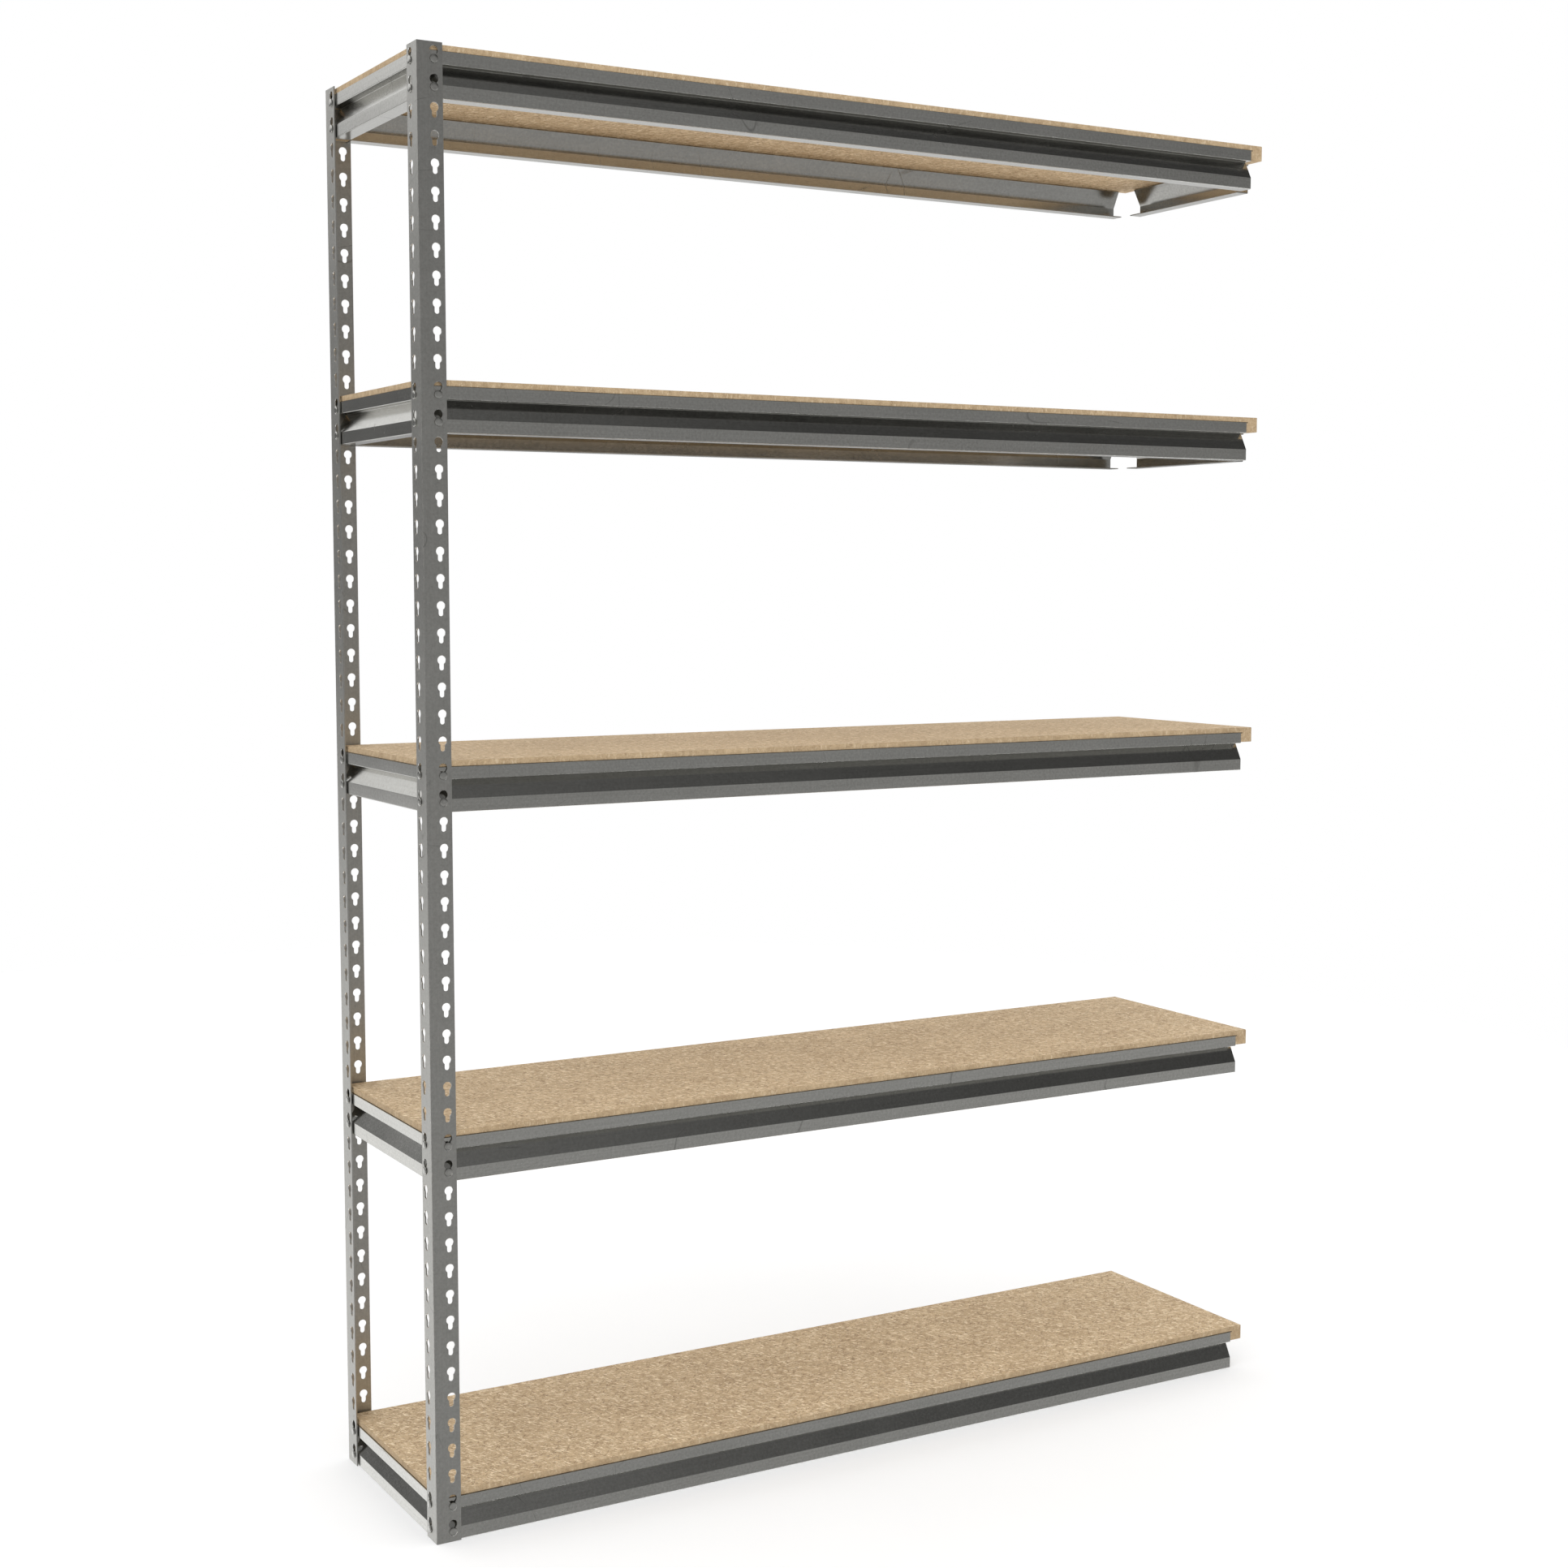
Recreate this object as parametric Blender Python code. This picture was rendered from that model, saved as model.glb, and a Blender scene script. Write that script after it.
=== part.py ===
"""Boltless steel shelving: one add-on bay of five shelves, open at its right-hand end.

Two angle posts with rows of keyholes stand at the left-hand end. A shelf is four folded beams and one
particle board, which drops inside the beams' lips and rests on their ledges. The beams hang on the posts
by headed rivets, two at each joint. The right-hand ends carry no post of their own.

Sizes are in metres. X runs right along the bay, Y runs back, and Z runs up from the floor. The origin is
on the floor, at the middle of the bounding box.
"""

import math

import bmesh
import bpy
from mathutils import Matrix, Vector
from mathutils.geometry import tessellate_polygon

# The bay. The width and the depth are taken over the outer faces of posts at all four corners.
BAY_WIDTH = 1.5287
BAY_DEPTH = 0.381
SHELF_COUNT = 5

# The angle posts
POST_HEIGHT = 2.1336
POST_FLANGE = 0.0381
POST_SHEET = 0.0019
POST_INSIDE_BEND = 0.0008

# The keyholes: a round opening above a narrow slot
KEYHOLE_PITCH = 0.0381
KEYHOLE_GAUGE = 0.0254
KEYHOLE_RADIUS = 0.00635
SLOT_HALF_WIDTH = 0.00355
SLOT_DROP = 0.0111
TOP_KEYHOLE_DEPTH = 0.01185
KEYHOLE_ARC_STEPS = 5

# The beams, whose heights are counted from their rivets
BEAM_SHEET = 0.0015
BEAM_INSIDE_BEND = 0.0008
LIP_ABOVE_RIVET = 0.0118
LIP_BELOW_RIVET = 0.00595
FLANGE_ABOVE_RIVET = 0.0044
FLANGE_BELOW_RIVET = 0.01445
LEDGE_DEPTH = 0.0145
FOOT_DEPTH = 0.0245
POST_TO_BEAM = 0.001
BEND_STEPS = 2

# The beams' ends
EAR_CLEARANCE = 0.0036
CORNER_CLEARANCE = 0.002
LONG_BEAM_OPEN_END = 0.0298
RIGHT_BEAM_FRONT_END = 0.0405
RIGHT_BEAM_REAR_END = 0.0495
FLOOR_CLEARANCE = 0.0005

# The rivets
RIVET_PLAY = 0.0004
RIVET_HEAD_RADIUS = 0.006
RIVET_HEAD_THICKNESS = 0.002
RIVET_RIM_THICKNESS = 0.0009
RIVET_CROWN_SHARE = 0.6
HEAD_TO_POST = 0.0003
RIVET_SIDES = 8

# The boards
BOARD_THICKNESS = 0.025
BOARD_PLAY = 0.0004
BOARD_REAR_PLAY = 0.002
BOARD_TO_LEDGE = 0.0003
BOARD_ARRIS = 0.0006

# Worked out from the sizes above
BEAM_FACE = POST_SHEET + POST_TO_BEAM
LIP_INSIDE = BEAM_FACE + BEAM_SHEET
EAR_START = LIP_INSIDE + EAR_CLEARANCE
TOP_SLOT_DEPTH = TOP_KEYHOLE_DEPTH + SLOT_DROP
LOWEST_SLOT = FLANGE_BELOW_RIVET + FLOOR_CLEARANCE
KEYHOLE_COUNT = int((POST_HEIGHT - TOP_SLOT_DEPTH - LOWEST_SLOT) / KEYHOLE_PITCH) + 1
NECK_RADIUS = SLOT_HALF_WIDTH - RIVET_PLAY
RIVET_SPACE = NECK_RADIUS + CORNER_CLEARANCE
NECK_LENGTH = POST_TO_BEAM + POST_SHEET + HEAD_TO_POST
HEAD_PROUD = HEAD_TO_POST + RIVET_HEAD_THICKNESS
MIDDLE_X = (BAY_WIDTH - BEAM_FACE - HEAD_PROUD) / 2
MIDDLE_Y = BAY_DEPTH / 2

STEEL_COLOUR = (0.33, 0.33, 0.325, 1.0)
BOARD_COLOUR = (0.52, 0.38, 0.23, 1.0)


def clear_scene():
    for thing in list(bpy.data.objects):
        bpy.data.objects.remove(thing)


def finish_of(name, colour, roughness, metallic):
    material = bpy.data.materials.new(name)
    material.use_nodes = True
    shader = material.node_tree.nodes["Principled BSDF"]
    shader.inputs["Base Color"].default_value = colour
    shader.inputs["Roughness"].default_value = roughness
    shader.inputs["Metallic"].default_value = metallic
    return material


def left_of(direction):
    return Vector((-direction.y, direction.x))


def folded_section(corners, names, sheet, inside_bend):
    """A folded sheet's cross-section, with the sheet lying to the left of its outer face.

    Returns the points of the outer face, those of the inner face, and the name of the stretch that follows
    each point. A bend's stretches are named after the flat stretch before it.
    """
    outer = [corners[0]]
    stretches = []
    for before, corner, after, name in zip(corners, corners[1:], corners[2:], names):
        into = (corner - before).normalized()
        out = (after - corner).normalized()
        turn = math.atan2(into.cross(out), into.dot(out))
        radius = inside_bend + sheet if turn > 0 else inside_bend
        start = corner - into * radius * math.tan(abs(turn) / 2)
        centre = start + left_of(into) * math.copysign(radius, turn)
        stretches.append(name)
        for step in range(BEND_STEPS + 1):
            outer.append(centre + Matrix.Rotation(turn * step / BEND_STEPS, 2) @ (start - centre))
        stretches.extend([name + "_bend"] * BEND_STEPS)
    outer.append(corners[-1])
    stretches.append(names[-1])
    normals = [left_of((b - a).normalized()) for a, b in zip(outer, outer[1:])]
    inner = [outer[0] + normals[0] * sheet]
    for point, first, second in zip(outer[1:], normals, normals[1:]):
        mitre = (first + second).normalized()
        inner.append(point + mitre * (sheet / mitre.dot(first)))
    inner.append(outer[-1] + normals[-1] * sheet)
    return outer, inner, stretches


def ring_of(bm, points):
    return [bm.verts.new(point) for point in points]


def join_rings(bm, first, second):
    for k in range(len(first)):
        following = (k + 1) % len(first)
        bm.faces.new((first[k], first[following], second[following], second[k]))


def fill_around(bm, rim, ring):
    """Fills the flat space between a four-sided rim and the ring inside it."""
    corners = rim + ring
    outlines = [[vertex.co for vertex in rim], [vertex.co for vertex in ring]]
    for triangle in tessellate_polygon(outlines):
        bm.faces.new([corners[k] for k in triangle])


def folded_sheet(name, section, place, stations, spans, add_feature):
    """A mesh of a folded sheet that runs through the stations, placed by place(along, point in the section).

    A stretch named in spans has only the runs between the two stations given there, and every other stretch
    has those of spans["rest"]. add_feature(bm, stretch, run, outer rim, inner rim) fills a cell that holds a
    keyhole or a rivet, and returns False for a plain one.
    """
    outer, inner, stretches = section
    bm = bmesh.new()
    grid = [[[bm.verts.new(place(along, p)) for along in stations] for p in face] for face in (outer, inner)]

    def present(strip, run):
        if not 0 <= strip < len(stretches):
            return False
        first, last = spans.get(stretches[strip], spans["rest"])
        return first <= run < last

    for strip, stretch in enumerate(stretches):
        for run in range(len(stations) - 1):
            if not present(strip, run):
                continue
            corners = ((strip, run), (strip + 1, run), (strip + 1, run + 1), (strip, run + 1))
            rims = [[side[i][j] for i, j in corners] for side in grid]
            if not add_feature(bm, stretch, run, *rims):
                bm.faces.new(rims[0])
                bm.faces.new(rims[1])
            neighbours = ((strip, run - 1), (strip + 1, run), (strip, run + 1), (strip - 1, run))
            for k, neighbour in enumerate(neighbours):
                if not present(*neighbour):
                    following = (k + 1) % 4
                    bm.faces.new((rims[0][k], rims[0][following], rims[1][following], rims[1][k]))
    loose = [vertex for vertex in bm.verts if not vertex.link_faces]
    bmesh.ops.delete(bm, geom=loose, context="VERTS")
    bmesh.ops.recalc_face_normals(bm, faces=bm.faces)
    return finished_mesh(name, bm)


def finished_mesh(name, bm):
    mesh = bpy.data.meshes.new(name)
    bm.to_mesh(mesh)
    bm.free()
    mesh.shade_smooth()
    mesh.set_sharp_from_angle(angle=math.radians(30))
    return mesh


def keyhole_outline():
    """A keyhole's outline around the centre of its round opening, as pairs (across, up).

    The slot's round end is half of the octagon drawn outside its circle.
    """
    mouth = math.asin(SLOT_HALF_WIDTH / KEYHOLE_RADIUS)
    first = mouth - math.pi / 2
    sweep = 2 * (math.pi - mouth)
    points = []
    for step in range(KEYHOLE_ARC_STEPS + 1):
        angle = first + sweep * step / KEYHOLE_ARC_STEPS
        points.append((KEYHOLE_RADIUS * math.cos(angle), KEYHOLE_RADIUS * math.sin(angle)))
    corner_radius = SLOT_HALF_WIDTH / math.cos(math.pi / 8)
    for step in range(4):
        angle = math.pi * (1 + (step + 0.5) / 4)
        points.append((corner_radius * math.cos(angle), corner_radius * math.sin(angle) - SLOT_DROP))
    return points


def post_mesh():
    """An angle post with its outer corner on the Z axis and its flanges along +X and +Y."""
    corners = [Vector((0.0, POST_FLANGE)), Vector((0.0, 0.0)), Vector((POST_FLANGE, 0.0))]
    section = folded_section(corners, ("side", "front"), POST_SHEET, POST_INSIDE_BEND)
    outline = keyhole_outline()
    first_round = POST_HEIGHT - TOP_KEYHOLE_DEPTH
    solid_strip = KEYHOLE_PITCH - KEYHOLE_RADIUS - SLOT_DROP - SLOT_HALF_WIDTH
    below_round = SLOT_DROP + SLOT_HALF_WIDTH + solid_strip / 2
    stations = [POST_HEIGHT]
    for row in range(KEYHOLE_COUNT - 1):
        stations.append(first_round - row * KEYHOLE_PITCH - below_round)
    stations.append(0.0)

    def cut_keyhole(bm, stretch, run, outer_rim, inner_rim):
        if stretch not in ("front", "side"):
            return False
        height = first_round - run * KEYHOLE_PITCH
        rings = []
        for rim, depth in ((outer_rim, 0.0), (inner_rim, POST_SHEET)):
            if stretch == "front":
                points = [Vector((KEYHOLE_GAUGE + across, depth, height + up)) for across, up in outline]
            else:
                points = [Vector((depth, KEYHOLE_GAUGE + across, height + up)) for across, up in outline]
            rings.append(ring_of(bm, points))
            fill_around(bm, rim, rings[-1])
        join_rings(bm, *rings)
        return True

    def place(along, point):
        return Vector((point.x, point.y, along))

    return folded_sheet("post", section, place, stations, {"rest": (0, KEYHOLE_COUNT)}, cut_keyhole)


def beam_section():
    """A beam's section as points (depth behind its outer face, height above its upper rivet)."""
    flange_top = FLANGE_ABOVE_RIVET - KEYHOLE_PITCH
    flange_bottom = -FLANGE_BELOW_RIVET - KEYHOLE_PITCH
    corners = [
        Vector((0.0, LIP_ABOVE_RIVET)),
        Vector((0.0, -LIP_BELOW_RIVET)),
        Vector((LEDGE_DEPTH, -LIP_BELOW_RIVET)),
        Vector((0.0, flange_top)),
        Vector((0.0, flange_bottom)),
        Vector((FOOT_DEPTH, flange_bottom)),
    ]
    names = ("lip", "ledge", "web", "flange", "foot")
    return folded_section(corners, names, BEAM_SHEET, BEAM_INSIDE_BEND)


def add_rivet(bm, along, height, rim):
    """Fills the rim round a rivet's neck and adds the rivet, which points out along -Y."""
    profile = (
        (NECK_RADIUS, 0.0),
        (NECK_RADIUS, NECK_LENGTH),
        (RIVET_HEAD_RADIUS, NECK_LENGTH),
        (RIVET_HEAD_RADIUS, NECK_LENGTH + RIVET_RIM_THICKNESS),
        (RIVET_HEAD_RADIUS * RIVET_CROWN_SHARE, NECK_LENGTH + RIVET_HEAD_THICKNESS),
    )
    rings = []
    for radius, proud in profile:
        points = []
        for side in range(RIVET_SIDES):
            angle = 2 * math.pi * (side + 0.5) / RIVET_SIDES
            points.append(Vector((along + radius * math.cos(angle), -proud, height + radius * math.sin(angle))))
        rings.append(ring_of(bm, points))
    fill_around(bm, rim, rings[0])
    for first, second in zip(rings, rings[1:]):
        join_rings(bm, first, second)
    bm.faces.new(rings[-1])


def cut_back(reach):
    """How far from the post's outer face a stretch that reaches so deep is cut back at a riveted end.

    It clears the crossing beam, which is cut back in the same way, and doesn't end beside the rivets.
    """
    clear = BEAM_FACE + reach + CORNER_CLEARANCE
    if abs(clear - KEYHOLE_GAUGE) < RIVET_SPACE:
        clear = KEYHOLE_GAUGE + RIVET_SPACE
    return clear


def beam_mesh(name, span, first_end, last_end):
    """A beam along +X whose outer face looks along -Y, with its upper rivets at height 0.

    span is the distance between the outer faces of the posts at its ends. An end given as None is notched
    and riveted for a post, and any other is cut straight at that distance from the post's outer face.
    """
    cuts = {"lip": EAR_START, "web": cut_back(LEDGE_DEPTH), "foot": cut_back(FOOT_DEPTH)}
    reach = {}
    for stretch, cut in cuts.items():
        reach[stretch] = (cut if first_end is None else first_end, span - (cut if last_end is None else last_end))
    stations = sorted({along for ends in reach.values() for along in ends})
    runs = {stretch: tuple(stations.index(along) for along in ends) for stretch, ends in reach.items()}
    spans = {"lip": runs["lip"], "flange": runs["lip"], "flange_bend": runs["foot"], "foot": runs["foot"]}
    spans["rest"] = runs["web"]
    rivets = []
    if first_end is None:
        rivets.append(KEYHOLE_GAUGE)
    if last_end is None:
        rivets.append(span - KEYHOLE_GAUGE)
    rivet_heights = {"lip": 0.0, "flange": -KEYHOLE_PITCH}

    def set_rivet(bm, stretch, run, outer_rim, inner_rim):
        here = [along for along in rivets if stations[run] < along < stations[run + 1]]
        if not here or stretch not in rivet_heights:
            return False
        add_rivet(bm, here[0], rivet_heights[stretch], outer_rim)
        bm.faces.new(inner_rim)
        return True

    def place(along, point):
        return Vector((along, point.x, point.y))

    return folded_sheet(name, beam_section(), place, stations, spans, set_rivet)


def board_mesh():
    """A board about its own centre."""
    length = BAY_WIDTH - 2 * (LIP_INSIDE + BOARD_PLAY)
    depth = BAY_DEPTH - 2 * LIP_INSIDE - BOARD_PLAY - BOARD_REAR_PLAY
    bm = bmesh.new()
    bmesh.ops.create_cube(bm, size=1.0, matrix=Matrix.Diagonal((length, depth, BOARD_THICKNESS, 1.0)))
    bmesh.ops.bevel(bm, geom=bm.edges[:], offset=BOARD_ARRIS, segments=1, affect="EDGES")
    return finished_mesh("board", bm)


def add_node(name, mesh, material, parent, location, turn=0.0):
    if not mesh.materials:
        mesh.materials.append(material)
    node = bpy.data.objects.new(name, mesh)
    node.parent = parent
    node.location = location
    node.rotation_euler.z = math.radians(turn)
    bpy.context.scene.collection.objects.link(node)


def add_frame(name, parent, location):
    frame = bpy.data.objects.new(name, None)
    frame.parent = parent
    frame.location = location
    bpy.context.scene.collection.objects.link(frame)
    return frame


def shelf_heights():
    """The height of each shelf's upper rivets, from the bottom shelf up.

    The bottom shelf hangs in the two lowest keyholes and the top shelf in the two highest. The others go up
    in equal steps, and any shortfall is in the top one.
    """
    step = math.ceil((KEYHOLE_COUNT - 2) / (SHELF_COUNT - 1))
    rows = [min(2 + step * shelf, KEYHOLE_COUNT) for shelf in range(SHELF_COUNT - 1)] + [KEYHOLE_COUNT]
    lowest = POST_HEIGHT - TOP_SLOT_DEPTH - (KEYHOLE_COUNT - 1) * KEYHOLE_PITCH
    return [lowest + (row - 1) * KEYHOLE_PITCH for row in rows]


def build_bay():
    steel = finish_of("bare_steel", STEEL_COLOUR, 0.38, 1.0)
    wood = finish_of("particle_board", BOARD_COLOUR, 0.85, 0.0)
    bay = add_frame("bay", None, (-MIDDLE_X, -MIDDLE_Y, 0.0))

    post = post_mesh()
    add_node("front_post", post, steel, bay, (0.0, 0.0, 0.0))
    add_node("rear_post", post, steel, bay, (0.0, BAY_DEPTH, 0.0), -90.0)

    front = beam_mesh("front_beam", BAY_WIDTH, None, LONG_BEAM_OPEN_END)
    rear = beam_mesh("rear_beam", BAY_WIDTH, LONG_BEAM_OPEN_END, None)
    left = beam_mesh("left_beam", BAY_DEPTH, None, None)
    right = beam_mesh("right_beam", BAY_DEPTH, RIGHT_BEAM_FRONT_END, RIGHT_BEAM_REAR_END)
    board = board_mesh()
    board_height = BEAM_SHEET - LIP_BELOW_RIVET + BOARD_TO_LEDGE + BOARD_THICKNESS / 2
    board_centre = (BAY_WIDTH / 2, (BAY_DEPTH + BOARD_PLAY - BOARD_REAR_PLAY) / 2, board_height)

    for number, height in enumerate(shelf_heights(), start=1):
        shelf = add_frame(f"shelf_{number}", bay, (0.0, 0.0, height))
        add_node(f"shelf_{number}_front_beam", front, steel, shelf, (0.0, BEAM_FACE, 0.0))
        add_node(f"shelf_{number}_rear_beam", rear, steel, shelf, (BAY_WIDTH, BAY_DEPTH - BEAM_FACE, 0.0), 180.0)
        add_node(f"shelf_{number}_left_beam", left, steel, shelf, (BEAM_FACE, BAY_DEPTH, 0.0), -90.0)
        add_node(f"shelf_{number}_right_beam", right, steel, shelf, (BAY_WIDTH - BEAM_FACE, 0.0, 0.0), 90.0)
        add_node(f"shelf_{number}_board", board, wood, shelf, board_centre)


clear_scene()
build_bay()
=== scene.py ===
import math
import random

import bmesh
import bpy
from mathutils import Matrix, Vector
from mathutils.geometry import tessellate_polygon


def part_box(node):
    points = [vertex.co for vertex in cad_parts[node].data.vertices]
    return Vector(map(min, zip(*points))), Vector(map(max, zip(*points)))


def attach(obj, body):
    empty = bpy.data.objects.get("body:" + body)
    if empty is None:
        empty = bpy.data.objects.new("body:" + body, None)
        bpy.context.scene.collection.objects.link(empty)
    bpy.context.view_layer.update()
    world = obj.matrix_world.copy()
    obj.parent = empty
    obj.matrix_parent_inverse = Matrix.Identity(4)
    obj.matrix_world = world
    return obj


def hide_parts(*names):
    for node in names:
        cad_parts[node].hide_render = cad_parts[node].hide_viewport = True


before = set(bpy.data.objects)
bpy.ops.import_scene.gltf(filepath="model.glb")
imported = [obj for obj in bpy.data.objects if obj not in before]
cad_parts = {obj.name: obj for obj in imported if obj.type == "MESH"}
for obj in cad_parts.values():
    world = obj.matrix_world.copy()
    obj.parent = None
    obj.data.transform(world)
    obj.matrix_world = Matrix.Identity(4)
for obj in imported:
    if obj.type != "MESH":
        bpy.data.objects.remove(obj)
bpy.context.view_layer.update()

SHELVES = range(1, 6)

# Angle posts. The gauge is from a post's corner to the middle of its keyholes.
POST_SHEET = 0.0019
KEYHOLE_PITCH = 0.0381
KEYHOLE_GAUGE = 0.0254
KEYHOLE_RADIUS = 0.00635
KEYHOLE_COUNT = 56
TOP_KEYHOLE_DEPTH = 0.01185
SLOT_HALF_WIDTH = 0.00355
SLOT_DROP = 0.0111
OPENING_STEPS = 16
SLOT_STEPS = 8

# The edge of a keyhole is rounded over where the punch goes in, and less where it comes out.
PUNCHED_EDGE = 0.0003
PUNCHED_BACK_EDGE = 0.00018

# Folded beams. Heights are counted from the upper rivet, and starts from the outer face of the post.
BEAM_SHEET = 0.0015
LIP_TOP = 0.0118
LIP_BOTTOM = -0.00595
FLANGE_TOP = -0.0337
FLANGE_BOTTOM = -0.05255
LEDGE_DEPTH = 0.0145
FOOT_DEPTH = 0.0245
POST_TO_BEAM = 0.001
BEAM_FACE = POST_SHEET + POST_TO_BEAM
EAR_START = 0.008
WEB_START = 0.0194
FOOT_START = 0.03055

# Bends and sheared edges of the sheet
OUTSIDE_BEND = 0.0012
INSIDE_BEND = 0.0004
BEND_STEPS = 5
EDGE_BREAK = 0.00035
EDGE_STEPS = 2

# An edge that turns more than the first is broken, and one that turns less than the second is shaded smooth.
SHARP_EDGE = math.radians(60)
SMOOTH_LIMIT = math.radians(30)

# Rivets. The head starts just outside the post's face.
NECK_RADIUS = 0.00315
HEAD_RADIUS = 0.006
HEAD_GAP = 0.0003
HEAD_START = BEAM_FACE + HEAD_GAP
HEAD_THICKNESS = 0.002
HEAD_CORNER = 0.0003
HEAD_RIM = 0.0008
DOME_STEPS = 7
DOME_FULLNESS = 0.8
RIVET_SIDES = 28

# Boards. A board's side has a painted shadow line, standing for the shade of the narrow gap, where a lip
# comes within reach of it.
BOARD_ARRIS = 0.0006
CHIP_STEP = 0.004
CHIP_DEPTH = 0.00022
PAINTED_SHADOW_HALF_HEIGHT = 0.0009
LIP_REACH = 0.003

# The place of each finish in a mesh's list. A board's two faces keep the first.
SHEET_FINISH, CUT_FINISH = 0, 1
# A board's sawn sides take the second finish, and the painted shadow line beside the lips takes the third.
SAWN_FINISH, PAINTED_SHADOW_FINISH = 1, 2

# Colours of the steel, from its tones to what lies on it
DULL_STEEL = (0.39, 0.385, 0.36, 1.0)
BRIGHT_STEEL = (0.61, 0.605, 0.575, 1.0)
STAIN = (0.23, 0.22, 0.20, 1.0)
SCRATCH = (0.12, 0.115, 0.105, 1.0)
SCUFF = (0.72, 0.72, 0.70, 1.0)
SHEARED_STEEL = (0.62, 0.62, 0.60, 1.0)

# Colours of the board, from its glued dust to its flakes
BROWN_DUST = (0.33, 0.225, 0.125)
TAN_DUST = (0.69, 0.525, 0.33)
DARK_FLAKE = (0.24, 0.155, 0.085)
PALE_FLAKE = (0.88, 0.74, 0.53)

# Patterns. The lower a squeeze is, the longer the pattern is drawn out.
ROLLING_SQUEEZE = 0.012
SCRATCH_SQUEEZE = 0.012
SCRATCH_AXIS = (0.45, 0.55, 0.7)
SCRATCH_WIDTH = 0.000012
FLAKE_SQUEEZE = 0.26
FLAKE_ANGLES = (0.15, 1.2, 2.3)
SAWN_SQUEEZE = 0.35

# Studio
WHITE = (1.0, 1.0, 1.0, 1.0)
EVEN_LIGHT = 1.14
BACKDROP_LIGHT = 1.0
FLOOR_CENTRE = (0.2, 1.9)
FLOOR_RADII = (3.3, 1.2)
FLOOR_SIDES = 96
FLOOR_TONES = ((0.56, 0.56, 0.56, 1.0), (0.59, 0.59, 0.59, 1.0))
FLOOR_GLOW = 0.40
CAMERA_PLACE = (-1.9263, -3.2184, 1.3939)
CAMERA_TILT_DOWN = 5.07
CAMERA_TURN_RIGHT = 29.97
CAMERA_LENS = 52.43
CAMERA_SENSOR = 36.0


# ---------------------------------------------------------------------------------------------------------
# Outlines and rings


def left_of(direction):
    """The direction a quarter turn to the left."""
    return Vector((-direction.y, direction.x))


def arc(radius, start, sweep, steps):
    """The points of an arc round (0, 0), both ends included, as pairs (across, up)."""
    angles = [start + sweep * step / steps for step in range(steps + 1)]
    return [(radius * math.cos(angle), radius * math.sin(angle)) for angle in angles]


def circle(radius, sides):
    return arc(radius, 0.0, 2 * math.pi, sides)[:-1]


def ring_of(bm, points):
    return [bm.verts.new(point) for point in points]


def join_rings(bm, first, second, finish=SHEET_FINISH):
    faces = []
    for k in range(len(first)):
        following = (k + 1) % len(first)
        face = bm.faces.new((first[k], first[following], second[following], second[k]))
        face.material_index = finish
        faces.append(face)
    return faces


def fill_around(bm, rim, ring):
    """Fills the flat space between a four-sided rim and the ring inside it."""
    corners = rim + ring
    for triangle in tessellate_polygon([[v.co for v in rim], [v.co for v in ring]]):
        bm.faces.new([corners[k] for k in triangle])


# ---------------------------------------------------------------------------------------------------------
# Folded sheet


def offset_corners(corners, sheet):
    """The corners of the face that lies a sheet's thickness to the left of the path."""
    normals = [left_of((b - a).normalized()) for a, b in zip(corners, corners[1:])]
    inner = [corners[0] + normals[0] * sheet]
    for point, first, second in zip(corners[1:], normals, normals[1:]):
        mitre = (first + second).normalized()
        inner.append(point + mitre * (sheet / mitre.dot(first)))
    inner.append(corners[-1] + normals[-1] * sheet)
    return inner


def rounded(corners, left_radius, right_radius):
    """The path with rounded corners: one radius for turns to the left and one for turns to the right."""
    points = [corners[0]]
    for before, corner, after in zip(corners, corners[1:], corners[2:]):
        into = (corner - before).normalized()
        out = (after - corner).normalized()
        turn = math.atan2(into.cross(out), into.dot(out))
        radius = left_radius if turn > 0 else right_radius
        start = corner - into * radius * math.tan(abs(turn) / 2)
        centre = start + left_of(into) * math.copysign(radius, turn)
        for step in range(BEND_STEPS + 1):
            points.append(centre + Matrix.Rotation(turn * step / BEND_STEPS, 2) @ (start - centre))
    return points + [corners[-1]]


def folded_section(corners, names, sheet):
    """The outer and inner face of a folded sheet's section, and the name of the strip after each point."""
    outer = rounded(corners, OUTSIDE_BEND, INSIDE_BEND)
    inner = rounded(offset_corners(corners, sheet), INSIDE_BEND, OUTSIDE_BEND)
    strips = []
    for name in names[:-1]:
        strips += [name] + [name + "_bend"] * BEND_STEPS
    return outer, inner, strips + [names[-1]]


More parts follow.
